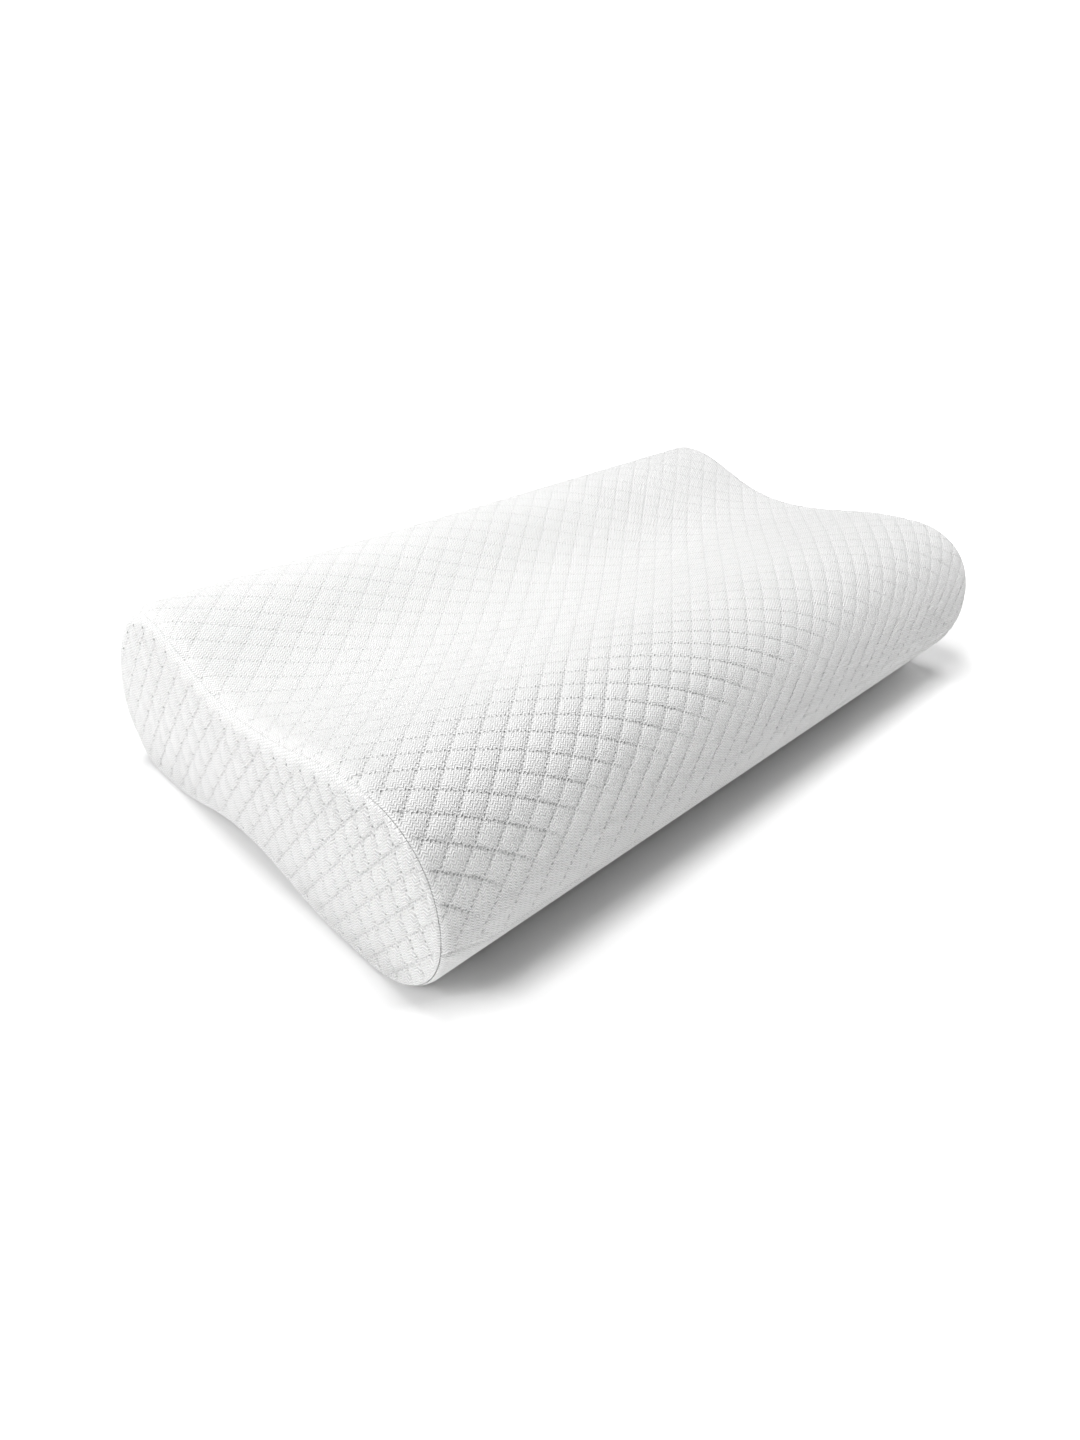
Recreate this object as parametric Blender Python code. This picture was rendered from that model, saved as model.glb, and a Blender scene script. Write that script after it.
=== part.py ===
"""Contour memory foam pillow in a quilted knit cover, modelled as the pieces a maker sews together.

One filled body carries the quilted wrap panel, which runs from the low front seam over the nose,
the two lobes and the dip to the low back seam. A quilted end panel closes each end, and a plain
panel closes the underside. The pieces meet at sunken seams with a gap of 0.3 mm.

Metres, +X along the pillow, +Y from the low lobe to the high lobe, +Z up. The origin is on the
surface that the pillow lies on, under the middle of its length and depth.
"""

import math

import bmesh
import bpy
import numpy as np
from mathutils import Vector
from mathutils.geometry import delaunay_2d_cdt

# Main sizes
LENGTH = 0.500
SEAM_X = 0.2457
GAP = 0.0003

# Section of the pillow across its length, as a table of the places where its outline is level or
# upright. Columns: name, y, z, heading of the outline in degrees, reach of the curve before and
# after the place. A stretch whose two reaches are zero is straight: a lobe's flat on the surface.
SECTION = (
    ("front_heel", -0.073, 0.000, 180, 0.030, 0.000),
    ("front_toe", -0.103, 0.000, 180, 0.000, 0.033),
    ("front_nose", -0.163, 0.060, 90, 0.033, 0.034),
    ("front_crest", -0.106, 0.1125, 0, 0.037, 0.036),
    ("dip", -0.006, 0.101, 0, 0.040, 0.049),
    ("back_crest", 0.095, 0.126, 0, 0.034, 0.029),
    ("back_nose", 0.163, 0.040, -90, 0.039, 0.024),
    ("back_toe", 0.129, 0.000, 180, 0.017, 0.000),
    ("back_heel", 0.104, 0.000, 180, 0.000, 0.029),
    ("arch", 0.015, 0.0135, 180, 0.040, 0.035),
)
STEPS_PER_STRETCH = 200

# Seams: the height of the two long ones on the noses, how near the underside's rows come to them,
# how far the cloth sinks at the long seams and the end seams, and the shoulder before an end seam
LONG_SEAM_Z = 0.036
NOSE_FROM_Y = 0.135
MARK_FROM_SEAM = 0.004
LONG_SEAM_SINK = 0.0012
END_SEAM_SINK = 0.0020
SHOULDER_X = 0.0035
SHOULDER_SINK = 0.0004

# Quilting: the diamonds' diagonals along and around the pillow, and how deep the stitching pulls
DIAMOND_ALONG = 0.0191
DIAMOND_AROUND = 0.0147
STITCH_SINK = 0.0016

# Underside panel
UNDERSIDE_THICK = 0.0028
UNDERSIDE_STEPS = 5
UNDERSIDE_COLUMNS = 10
UNDERSIDE_END_SINK = 0.0014

# End panels: a rolled rim beside the seam and a low dome inside it
RIM_POINTS = 72
RIM_RINGS = 3
RIM_ROLL_X = 0.0016
RIM_ROLL_SINK = 0.0014
RIM_INSET = 0.0003
END_DOME = 0.0014
END_DOME_REACH = 0.045
END_PUFF = LENGTH / 2 - SEAM_X - GAP - RIM_ROLL_X - END_DOME
END_QUILT_TURN = math.radians(10)
END_QUILT_MARGIN = 0.0045
END_QUILT_MIDDLE_Z = 0.056
END_QUILT_REACH = 24
TRIANGLES_INSIDE = 1
SAME_POINT = 1e-7

CORNER_ANGLE = math.radians(50)
COVER_WHITE = (0.86, 0.86, 0.855, 1.0)
UNDERSIDE_WHITE = (0.82, 0.82, 0.815, 1.0)


def clear_scene():
    """Remove the objects that a new file starts with."""
    for item in list(bpy.data.objects):
        bpy.data.objects.remove(item, do_unlink=True)


def cloth_material(name, color, roughness):
    """Plain matt cloth."""
    material = bpy.data.materials.new(name)
    material.use_nodes = True
    shader = material.node_tree.nodes["Principled BSDF"]
    shader.inputs["Base Color"].default_value = color
    shader.inputs["Roughness"].default_value = roughness
    shader.inputs["Metallic"].default_value = 0.0
    return material


def section_curve():
    """Closed outline of the section: between two places runs a cubic curve that leaves and
    arrives along their headings, with the reaches as handle lengths.

    Returns the distance run along the outline, its points and its outward normals."""
    t = np.linspace(0.0, 1.0, STEPS_PER_STRETCH, endpoint=False)[:, None]
    stretches = []
    for here, there in zip(SECTION, SECTION[1:] + SECTION[:1]):
        start = np.array(here[1:3])
        end = np.array(there[1:3])
        leave = math.radians(here[3])
        arrive = math.radians(there[3])
        handle_a = start + here[5] * np.array((math.cos(leave), math.sin(leave)))
        handle_b = end - there[4] * np.array((math.cos(arrive), math.sin(arrive)))
        stretches.append(
            start * (1 - t) ** 3
            + handle_a * 3 * t * (1 - t) ** 2
            + handle_b * 3 * t ** 2 * (1 - t)
            + end * t ** 3
        )
    points = np.vstack(stretches)
    points = np.vstack((points, points[:1]))
    along = np.concatenate(([0.0], np.cumsum(np.hypot(*np.diff(points, axis=0).T))))
    tangent = np.gradient(points, along, axis=0)
    tangent[0] = tangent[-1] = (tangent[0] + tangent[-1]) / 2
    tangent /= np.linalg.norm(tangent, axis=1)[:, None]
    normals = np.column_stack((-tangent[:, 1], tangent[:, 0]))
    return along, points, normals


ALONG, OUTLINE, NORMALS = section_curve()
GIRTH = ALONG[-1]


def section_points(s, sink):
    """Points of the section at the distances s along its outline, sunk inwards by sink."""
    s = np.asarray(s, dtype=float) % GIRTH
    place = np.column_stack([np.interp(s, ALONG, OUTLINE[:, k]) for k in (0, 1)])
    normal = np.column_stack([np.interp(s, ALONG, NORMALS[:, k]) for k in (0, 1)])
    sink = np.broadcast_to(np.asarray(sink, dtype=float), s.shape)
    return place - normal * sink[:, None]


def seam_distance(side):
    """Distance along the outline at which the front (-1) or back (+1) nose passes the height
    of the long seams."""
    on_side = side * OUTLINE[:, 0] > NOSE_FROM_Y
    height = np.where(on_side, np.abs(OUTLINE[:, 1] - LONG_SEAM_Z), np.inf)
    return ALONG[int(np.argmin(height))]


FRONT_SEAM = seam_distance(-1)
BACK_SEAM = seam_distance(+1)


def underside_marks():
    """Distances of the underside's rows, between the back seam and the front seam: the places of
    the section and even steps between them, but none on a lobe's flat."""
    marks = []
    for k, place in enumerate(SECTION):
        steps = 1 if place[5] == 0 else UNDERSIDE_STEPS
        first = k * STEPS_PER_STRETCH
        marks += [ALONG[first + m * STEPS_PER_STRETCH // steps] for m in range(steps)]
    marks = np.array(marks)
    marks = np.sort(np.concatenate((marks, marks + GIRTH)))
    start = BACK_SEAM + MARK_FROM_SEAM
    end = FRONT_SEAM + GIRTH - MARK_FROM_SEAM
    return marks[(marks > start) & (marks < end)]


def add_solid(name, verts, faces, material, stitched=()):
    """Object from points and faces, closed, with its faces pointing out. It is shaded smooth but
    for its corners and for the edges between two points that are both stitched down."""
    mesh = bpy.data.meshes.new(name)
    mesh.from_pydata([tuple(map(float, v)) for v in verts], [], faces)
    work = bmesh.new()
    work.from_mesh(mesh)
    bmesh.ops.triangulate(work, faces=[f for f in work.faces if len(f.verts) > 4])
    bmesh.ops.recalc_face_normals(work, faces=work.faces)
    stitched = set(stitched)
    for face in work.faces:
        face.smooth = True
    for edge in work.edges:
        creased = edge.verts[0].index in stitched and edge.verts[1].index in stitched
        edge.smooth = not creased and edge.calc_face_angle() < CORNER_ANGLE
    work.to_mesh(mesh)
    work.free()
    mesh.materials.append(material)
    item = bpy.data.objects.new(name, mesh)
    bpy.context.scene.collection.objects.link(item)
    return item


def grid_faces(columns, rows, is_low):
    """Faces between rings that lie side by side. Each ring is closed and has the same number of
    rows. A square whose corners hold stitching is split along the stitching."""
    faces = []
    for c in range(columns - 1):
        for r in range(rows):
            up = (r + 1) % rows
            a, b = c * rows + r, (c + 1) * rows + r
            d, e = (c + 1) * rows + up, c * rows + up
            if is_low[c, r] and is_low[c + 1, up]:
                faces += [(a, b, d), (a, d, e)]
            else:
                faces += [(a, b, e), (b, d, e)]
    return faces


def filled_body(material):
    """Filled body with the quilted wrap panel, as rings along X.

    The rows of a ring run from the front seam over the top to the back seam, half a diamond
    apart. A row's points sink at the crossings of the stitching, every second one, and stand
    full between them. The rest of the ring lies above the underside panel."""
    quilt_rows = round((BACK_SEAM - FRONT_SEAM) / (DIAMOND_AROUND / 2))
    quilt_columns = int((SEAM_X - SHOULDER_X) / (DIAMOND_ALONG / 2))
    wrap = np.linspace(FRONT_SEAM, BACK_SEAM, quilt_rows + 1)
    under = np.concatenate(([BACK_SEAM], underside_marks(), [FRONT_SEAM + GIRTH]))
    distances = np.concatenate((wrap, under))
    under_sink = UNDERSIDE_THICK + GAP

    regular = np.arange(-quilt_columns, quilt_columns + 1) * DIAMOND_ALONG / 2
    ring_x = np.concatenate(
        ([-SEAM_X, SHOULDER_X - SEAM_X], regular, [SEAM_X - SHOULDER_X, SEAM_X])
    )
    rows = len(distances)
    is_low = np.zeros((len(ring_x), rows), dtype=bool)
    verts = []
    for c, x in enumerate(ring_x):
        edge = min(c, len(ring_x) - 1 - c)
        sink = np.full(rows, under_sink)
        if edge == 0:
            sink[: quilt_rows + 1] = END_SEAM_SINK
        elif edge == 1:
            sink[: quilt_rows + 1] = SHOULDER_SINK
            sink[[0, quilt_rows]] = LONG_SEAM_SINK
        else:
            low = (np.arange(quilt_rows + 1) + c) % 2 == 0
            is_low[c, : quilt_rows + 1] = low
            sink[: quilt_rows + 1] = np.where(low, STITCH_SINK, 0.0)
            sink[[0, quilt_rows]] = LONG_SEAM_SINK
        yz = section_points(distances, sink)
        verts.append(np.column_stack((np.full(rows, x), yz)))
    faces = grid_faces(len(ring_x), rows, is_low)
    faces.append(tuple(range(rows)))
    last = (len(ring_x) - 1) * rows
    faces.append(tuple(range(last + rows - 1, last - 1, -1)))
    return add_solid("filled_body", np.vstack(verts), faces, material, np.flatnonzero(is_low))


def underside_panel(material):
    """Plain panel under the body, as rings along X: each ring runs along the outside of the
    section from the back seam to the front seam and returns along the inside."""
    outer_s = np.concatenate(([BACK_SEAM + GAP], underside_marks(), [FRONT_SEAM + GIRTH - GAP]))
    inner_s = outer_s[::-1]
    ends = SEAM_X - SHOULDER_X
    middle = np.linspace(-ends, ends, UNDERSIDE_COLUMNS)
    ring_x = np.concatenate(([-SEAM_X], middle, [SEAM_X]))
    verts = []
    for c, x in enumerate(ring_x):
        outer_sink = np.zeros(len(outer_s))
        outer_sink[[0, -1]] = LONG_SEAM_SINK
        if c in (0, len(ring_x) - 1):
            outer_sink[:] = UNDERSIDE_END_SINK
        inner_sink = np.full(len(inner_s), UNDERSIDE_THICK)
        yz = np.vstack((section_points(outer_s, outer_sink), section_points(inner_s, inner_sink)))
        verts.append(np.column_stack((np.full(len(yz), x), yz)))
    rows = len(verts[0])
    is_low = np.zeros((len(ring_x), rows), dtype=bool)
    faces = grid_faces(len(ring_x), rows, is_low)
    half = rows // 2
    for base in (0, (len(ring_x) - 1) * rows):
        for r in range(half - 1):
            faces.append((base + r, base + r + 1, base + rows - 2 - r, base + rows - 1 - r))
    return add_solid("underside_panel", np.vstack(verts), faces, material)


def distance_to_outline(points, outline):
    """Shortest distance from each point to a closed run of straight edges."""
    a = outline[None, :, :]
    edge = np.roll(outline, -1, axis=0)[None, :, :] - a
    to_point = points[:, None, :] - a
    t = np.clip((to_point * edge).sum(2) / (edge ** 2).sum(2), 0.0, 1.0)
    return np.linalg.norm(to_point - t[..., None] * edge, axis=2).min(1)


def is_inside(points, outline):
    """Whether each point lies inside a closed outline, by counting the edges left of it."""
    y, z = points[:, 0, None], points[:, 1, None]
    y1, z1 = outline[None, :, 0], outline[None, :, 1]
    y2, z2 = np.roll(y1, -1, axis=1), np.roll(z1, -1, axis=1)
    spans = (z1 > z) != (z2 > z)
    cross = y1 + (z - z1) / np.where(z2 == z1, 1.0, z2 - z1) * (y2 - y1)
    return (spans & (y < cross)).sum(1) % 2 == 1


def end_quilt(outline):
    """Quilting lattice of an end panel: points half a diamond apart on a grid turned a little
    from upright, kept where they lie clear of the rim, and the runs of stitching between them.

    The cloth is cut with its diamonds standing, so their long diagonal is upright."""
    span = range(-END_QUILT_REACH, END_QUILT_REACH + 1)
    index = [(i, j) for i in span for j in span]
    grid = np.array(index, dtype=float) * (DIAMOND_AROUND / 2, DIAMOND_ALONG / 2)
    turn = np.array(
        (
            (math.cos(END_QUILT_TURN), -math.sin(END_QUILT_TURN)),
            (math.sin(END_QUILT_TURN), math.cos(END_QUILT_TURN)),
        )
    )
    places = grid @ turn.T + (0.0, END_QUILT_MIDDLE_Z)
    keep = is_inside(places, outline) & (distance_to_outline(places, outline) > END_QUILT_MARGIN)
    kept = {index[k]: n for n, k in enumerate(np.flatnonzero(keep))}
    places = places[keep]
    low = np.array([(i + j) % 2 == 0 for i, j in kept])
    stitching = []
    for (i, j), n in kept.items():
        for step in (1, -1):
            other = kept.get((i + 1, j + step))
            if (i + j) % 2 == 0 and other is not None:
                stitching.append((n, other))
    return places, low, stitching


def end_panel(name, side, material):
    """Quilted panel that closes one end: a flat inner face, a rolled rim and a low dome.

    The rim's rings follow half a turn: sunk at the seam, full in the middle of the roll, sunk
    again where the quilted face begins. Height of the dome: a parabola of the distance from the
    rim, level from END_DOME_REACH inwards."""
    distances = np.linspace(0.0, GIRTH, RIM_POINTS, endpoint=False)
    inner_x = SEAM_X + GAP
    verts = []
    for ring in range(RIM_RINGS + 1):
        angle = math.pi * ring / RIM_RINGS
        x = inner_x + RIM_ROLL_X * (1 - math.cos(angle)) / 2
        yz = section_points(distances, RIM_INSET + RIM_ROLL_SINK * (1 - math.sin(angle)))
        verts.append(np.column_stack((np.full(RIM_POINTS, side * x), yz)))
    faces = []
    for ring in range(RIM_RINGS):
        for r in range(RIM_POINTS):
            a = ring * RIM_POINTS + r
            b = ring * RIM_POINTS + (r + 1) % RIM_POINTS
            faces.append((a, b, b + RIM_POINTS, a + RIM_POINTS))
    faces.append(tuple(range(RIM_POINTS - 1, -1, -1)))

    rim = verts[-1][:, 1:]
    places, low, stitching = end_quilt(rim)
    flat_points = [Vector(p) for p in np.vstack((rim, places))]
    edges = [(r, (r + 1) % RIM_POINTS) for r in range(RIM_POINTS)]
    edges += [(RIM_POINTS + a, RIM_POINTS + b) for a, b in stitching]
    filled = delaunay_2d_cdt(flat_points, edges, [], TRIANGLES_INSIDE, SAME_POINT)
    rise = np.clip(distance_to_outline(places, rim) / END_DOME_REACH, 0.0, 1.0)
    x = inner_x + RIM_ROLL_X + END_DOME * rise * (2 - rise) + np.where(low, 0.0, END_PUFF)
    verts.append(np.column_stack((side * x, places)))
    first = RIM_RINGS * RIM_POINTS
    source = [origins[0] for origins in filled[3]]
    for face in filled[2]:
        faces.append(tuple(first + source[k] for k in face))
    stitched = first + RIM_POINTS + np.flatnonzero(low)
    return add_solid(name, np.vstack(verts), faces, material, stitched)


def main():
    clear_scene()
    quilted = cloth_material("quilted_knit", COVER_WHITE, 0.9)
    plain = cloth_material("plain_knit", UNDERSIDE_WHITE, 0.9)
    filled_body(quilted)
    underside_panel(plain)
    end_panel("end_panel_left", -1, quilted)
    end_panel("end_panel_right", +1, quilted)


main()
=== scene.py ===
"""Contour memory foam pillow in its quilted knit cover: fine surfaces, cloth materials, studio."""

import math

import bpy
import numpy as np
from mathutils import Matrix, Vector
from mathutils.geometry import delaunay_2d_cdt

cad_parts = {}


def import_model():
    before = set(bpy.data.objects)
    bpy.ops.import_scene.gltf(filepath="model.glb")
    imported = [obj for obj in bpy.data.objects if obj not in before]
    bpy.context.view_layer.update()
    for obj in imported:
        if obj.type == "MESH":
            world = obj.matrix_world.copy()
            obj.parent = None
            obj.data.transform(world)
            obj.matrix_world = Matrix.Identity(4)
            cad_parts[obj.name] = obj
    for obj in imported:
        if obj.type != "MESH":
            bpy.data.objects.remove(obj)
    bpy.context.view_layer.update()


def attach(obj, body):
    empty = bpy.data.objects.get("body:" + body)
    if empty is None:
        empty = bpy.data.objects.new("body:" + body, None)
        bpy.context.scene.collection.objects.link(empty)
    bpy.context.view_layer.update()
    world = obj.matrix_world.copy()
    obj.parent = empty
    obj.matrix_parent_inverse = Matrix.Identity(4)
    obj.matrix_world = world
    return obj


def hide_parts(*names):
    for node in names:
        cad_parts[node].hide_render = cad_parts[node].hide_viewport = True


# Main sizes, in metres: where the end seams lie, and the gaps between the pieces at the long
# seams, at the end seams and at the round stretch of those over the top
SEAM_X = 0.2459
GAP = 0.0003
END_GAP = 0.00014
ROUND_GAP = 0.00006

# Section across the pillow's length, as a table of the places where its outline is level or
# upright. Columns: name, y, z, heading of the outline in degrees, reach of the curve before and
# after the place
SECTION = (
    ("front_heel", -0.073, 0.000, 180, 0.030, 0.000),
    ("front_toe", -0.103, 0.000, 180, 0.000, 0.033),
    ("front_nose", -0.163, 0.060, 90, 0.033, 0.034),
    ("front_crest", -0.106, 0.1125, 0, 0.037, 0.036),
    ("dip", -0.006, 0.101, 0, 0.040, 0.049),
    ("back_crest", 0.095, 0.126, 0, 0.034, 0.029),
    ("back_nose", 0.163, 0.040, -90, 0.039, 0.024),
    ("back_toe", 0.129, 0.000, 180, 0.017, 0.000),
    ("back_heel", 0.104, 0.000, 180, 0.000, 0.029),
    ("arch", 0.015, 0.0135, 180, 0.040, 0.035),
)
STEPS_PER_STRETCH = 200

# A pair named a stretch below is the place where a change starts and the width over which it goes

# Long seams: their height, where the noses lie, how far the cloth sinks at the seams, how wide
# that is, and the stretch where the quilting sets in
LONG_SEAM_Z = 0.036
NOSE_FROM_Y = 0.135
LONG_SEAM_SINK = 0.0012
LONG_SEAM_WIDTH = 0.0035
LONG_PLAIN = (0.003, 0.004)

# End seams: the same
END_SEAM_SINK = 0.0017
END_SEAM_WIDTH = 0.0036
END_PLAIN = (0.0004, 0.003)
# Over the top the edges of both ends are round: radius, plane of the end, sink at the seam
ROUND = 0.011
ROUND_FACE_X = 0.24925
ROUND_SINK = 0.0031
# Stretches around the section where the edge gets round and where that ends
ROUND_FROM = (0.190, 0.030)
ROUND_TO = (0.480, 0.050)
# On an end panel, the stretches of y and of z where it gets round
END_ROUND_Y = (-0.122, 0.030)
END_ROUND_Z = (0.045, 0.040)

# The front seam rises towards the near corner: by how much, from how far off, and the power that
# bends the rise
CORNER_RISE = 0.013
CORNER_RISE_REACH = 0.044
CORNER_RISE_BEND = 1.5
# There its edge is a raised lip: height, distance above the seam, half width, reach along
LIP = (0.0006, 0.0024, 0.0020, 0.080)

# Quilting of the wrap: the distance around where its lattice is centred
LATTICE_S = 0.200
# Columns: family of lines, lines per metre along and around, how these change with x, with x and
# s together and with s, and where the first line lies
LATTICE = (
    ("falling", 46.4, 63.1, 5.0, -13.0, -6.2, 0.90),
    ("rising", 57.5, -71.4, 2.2, -22.7, 21.5, 0.62),
)
# Below this distance around the cloth is stretched more and more, and how fast that grows
DRAWN_FROM = 0.150
DRAWN = 18.0
# How its places are searched for: number of steps, and the limits of s and x
SEARCH_STEPS = 12
LOWEST_S = 0.0955
FARTHEST_X = 0.32

# Height of the puffs between the lines
PUFF = 0.0013
# On top the cloth is flat: the stretch of s where that sets in, and what is left there of the
# puffs and of the falling and the rising stitches
TOP = (0.203, 0.038)
TOP_PUFF = 0.16
TOP_FALLING, TOP_RISING = 0.50, 0.40
# The falling lines run out low on the front: distance around at the near end and beyond it, the
# stretch of x between the two, and over what width they run out
FALLING_LOWEST = (0.110, 0.135)
FALLING_LOWEST_X = (-0.24, 0.12)
FALLING_FADE = 0.034
# On the front they grow weaker towards the far end: their strength there and the stretch of x
FAR_FALLING = 0.52
FAR_FALLING_X = (-0.05, 0.15)
# Strength of the rising lines low on the front, and on its face near and far, with the stretches
# of s and x between these
LOW_RISING, NEAR_RISING, FAR_RISING = 0.72, 0.84, 0.48
LOW_RISING_S = (0.138, 0.015)
FAR_RISING_X = (-0.15, 0.15)
# Loose cloth low on the front: stretch above the seam where it starts, width over which it ends
LOOSE_FROM = (-0.002, 0.006)
LOOSE_FADE = 0.022

# Lattice of the end panels: spacing of the lines along y and upwards, and where the first line
# lies, for both families. The standing lines fan out from a place on the front lobe
END_MIDDLE_Z = 0.056
END_FALLING = (0.0155, 0.0172, 0.58)
END_STANDING = (0.0143, -0.0404, 0.43)
END_FAN = 127
END_FAN_Y = -0.1
# Their puffs, how strong the falling lines and the standing stitches are, and the stretches inside
# the seam where puffs and stitches set in, with what the round edge adds to the width
END_PUFF = 0.0034
END_FALLING_SHARE = 0.52
END_STITCH = 1.7
END_PUFF_FROM, END_PUFF_FADE, ROUND_PUFF_FADE = 0.0004, 0.0035, 0.0125
END_STITCH_FROM, END_STITCH_FADE, ROUND_STITCH_FADE = 0.0012, 0.0025, 0.0045
# Rings of points inside the seam, the roll at the rim, the step from the last ring to the patch
# inside it, and the dome: where it is highest and over what distance it rises
RIM = (0.0, 0.0002, 0.0005, 0.0009, 0.0014, 0.0020, 0.0028, 0.0037)
RIM_ROLL = 0.0016
RIM_TO_PATCH = 0.0010
END_FACE_X = 0.2496
END_DOME_REACH = 0.045

# Underside panel: thickness, distances of its first rows from the end seams and the long seams,
# where its even rows start, and the sink of its edges with its width at the ends and the long sides
UNDERSIDE_THICK = 0.0028
UNDERSIDE_ENDS = (0.0, 0.0004, 0.001, 0.002, 0.0035)
UNDERSIDE_LONG = (0.0, 0.0004, 0.001, 0.0018, 0.0028, 0.004)
UNDERSIDE_EVEN = 0.006
UNDERSIDE_SINK = 0.0014
UNDERSIDE_SINK_WIDTHS = (0.0035, 0.003)

# How fine the surfaces are
STEPS_PER_DIAMOND = 11
EDGE_STEPS = 40
END_STEPS_LONG = 400
END_STEPS_SHORT = 104
RIM_LINE_STEPS = 400
UNDERSIDE_COLUMNS = 120
UNDERSIDE_ROWS = 150
HIDDEN_ROWS = 24
HIDDEN_COLUMNS = 16
# One row inside the underside panel for this many outside
UNDERSIDE_INNER_SKIP = 6
# Points of the wrap's grid nearer to its edge than this lie on it
SNAP = 0.0005
# Lines of the grid to spare on each side, and places that count as the same
SPARE_LINES = 2
SAME = 1e-9
SAME_FILLED = 1e-7
# Rows from the grid's edge to a seam, as shares of the width that is left
SHOULDER = (0.8, 0.6, 0.42, 0.26, 0.12, 0.0)


def section_curve():
    """Closed outline of the section: between two places runs a cubic curve that leaves and
    arrives along their headings, with the reaches as handle lengths.

    Returns the distance run along the outline, its points and its outward normals."""
    t = np.linspace(0.0, 1.0, STEPS_PER_STRETCH, endpoint=False)[:, None]
    stretches = []
    for here, there in zip(SECTION, SECTION[1:] + SECTION[:1]):
        start = np.array(here[1:3])
        end = np.array(there[1:3])
        leave = math.radians(here[3])
        arrive = math.radians(there[3])
        handle_a = start + here[5] * np.array((math.cos(leave), math.sin(leave)))
        handle_b = end - there[4] * np.array((math.cos(arrive), math.sin(arrive)))
        stretches.append(
            start * (1 - t) ** 3
            + handle_a * 3 * t * (1 - t) ** 2
            + handle_b * 3 * t ** 2 * (1 - t)
            + end * t ** 3
        )
    points = np.vstack(stretches)
    points = np.vstack((points, points[:1]))
    along = np.concatenate(([0.0], np.cumsum(np.hypot(*np.diff(points, axis=0).T))))
    tangent = np.gradient(points, along, axis=0)
    tangent[0] = tangent[-1] = (tangent[0] + tangent[-1]) / 2
    tangent /= np.linalg.norm(tangent, axis=1)[:, None]
    normals = np.column_stack((-tangent[:, 1], tangent[:, 0]))
    return along, points, normals


ALONG, OUTLINE, NORMALS = section_curve()
GIRTH = ALONG[-1]


def section_points(s, rise):
    """Points (y, z) of the section at the distances s along its outline, raised outwards."""
    s = np.asarray(s, dtype=float) % GIRTH
    place = np.stack([np.interp(s, ALONG, OUTLINE[:, k]) for k in (0, 1)], axis=-1)
    normal = np.stack([np.interp(s, ALONG, NORMALS[:, k]) for k in (0, 1)], axis=-1)
    rise = np.broadcast_to(np.asarray(rise, dtype=float), s.shape)
    return place + normal * rise[..., None]


def seam_distance(side):
    """Distance along the outline at which the front (-1) or back (+1) nose passes the height
    of the long seams."""
    on_side = side * OUTLINE[:, 0] > NOSE_FROM_Y
    height = np.where(on_side, np.abs(OUTLINE[:, 1] - LONG_SEAM_Z), np.inf)
    return ALONG[int(np.argmin(height))]


FRONT_SEAM = seam_distance(-1)
BACK_SEAM = seam_distance(+1)
BACK_EDGE = BACK_SEAM - LONG_SEAM_WIDTH


def smooth(t):
    """Smooth step from 0 to 1."""
    t = np.clip(t, 0.0, 1.0)
    return t * t * (3 - 2 * t)


def ease(value, start, width):
    """Smooth step of the value: 0 up to start, and 1 from the end of the width on."""
    return smooth((value - start) / width)


def blend(first, second, share):
    """The first value at a share of 0, the second at 1, and even between."""
    return first + (second - first) * share


def front_seam(x):
    """Distance along the outline of the front seam at x: level, with a rise at the near end that
    is a power of a smooth step."""
    share = smooth(1 - (x + SEAM_X) / CORNER_RISE_REACH)
    return FRONT_SEAM + CORNER_RISE * share ** CORNER_RISE_BEND


def front_edge(x):
    """Where the quilted grid ends above the front seam."""
    return front_seam(x) + LONG_SEAM_WIDTH


def roundness(s):
    """1 where the edge of the ends is round, over the top, and 0 where it is a tight roll."""
    s = s % GIRTH
    return ease(s, *ROUND_FROM) * (1 - ease(s, *ROUND_TO))


def end_sink(x, s):
    """How far the wrap lies below the section near the ends: a narrow groove round the front lobe
    and a round edge over the top."""
    from_end = SEAM_X - np.abs(x)
    turn = np.clip((np.abs(x) - ROUND_FACE_X) / ROUND + 1, 0.0, 1.0)
    over = ROUND * (1 - np.sqrt(1 - turn ** 2))
    return blend(END_SEAM_SINK * hollow(from_end, END_SEAM_WIDTH), over, roundness(s))


def seam_inset(s):
    """How far inside the section the edge of an end panel starts."""
    return blend(END_SEAM_SINK, ROUND_SINK, roundness(s))


def on_top(s):
    """0 on the front lobe and 1 where the cloth lies on top."""
    return ease(s, *TOP)


def hollow(distance, width):
    """How far the cloth dips towards a seam: 1 at the seam and 0 from width on, as the square of
    the share of the width that is left."""
    return (1 - np.clip(distance / width, 0.0, 1.0)) ** 2


def cell(u):
    """Bow between two stitched lines at whole numbers u: 0 on them and 1 half way, as one less
    the fourth power of the share of the way that is left."""
    near = 2 * np.abs(u - np.round(u))
    return 1 - (1 - near) ** 4


def quilt(a, b, hold_a, hold_b):
    """Height of the quilting from 0 to 1: the product of the bows of the two families of lines,
    each as strong as its hold."""
    return (1 - hold_a * (1 - cell(a))) * (1 - hold_b * (1 - cell(b)))


def drawn(s):
    """Distance around the cloth at the distance s around the section, and how fast it changes: the
    cloth is stretched more and more below DRAWN_FROM."""
    below = np.clip(DRAWN_FROM - s, 0.0, None)
    return s - LATTICE_S + DRAWN / 2 * below ** 2, 1 - DRAWN * below


def lattice(x, s):
    """Quilting coordinates of the wrap at x and s: a line of stitching runs where either is
    whole. Each is a plain slope along and around that changes a little as the cloth stretches."""
    t, _ = drawn(s)
    return [
        per_x * x + per_t * t + bend_x * x * x + bend_xt * x * t + bend_t * t * t + start
        for _, per_x, per_t, bend_x, bend_xt, bend_t, start in LATTICE
    ]


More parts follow.
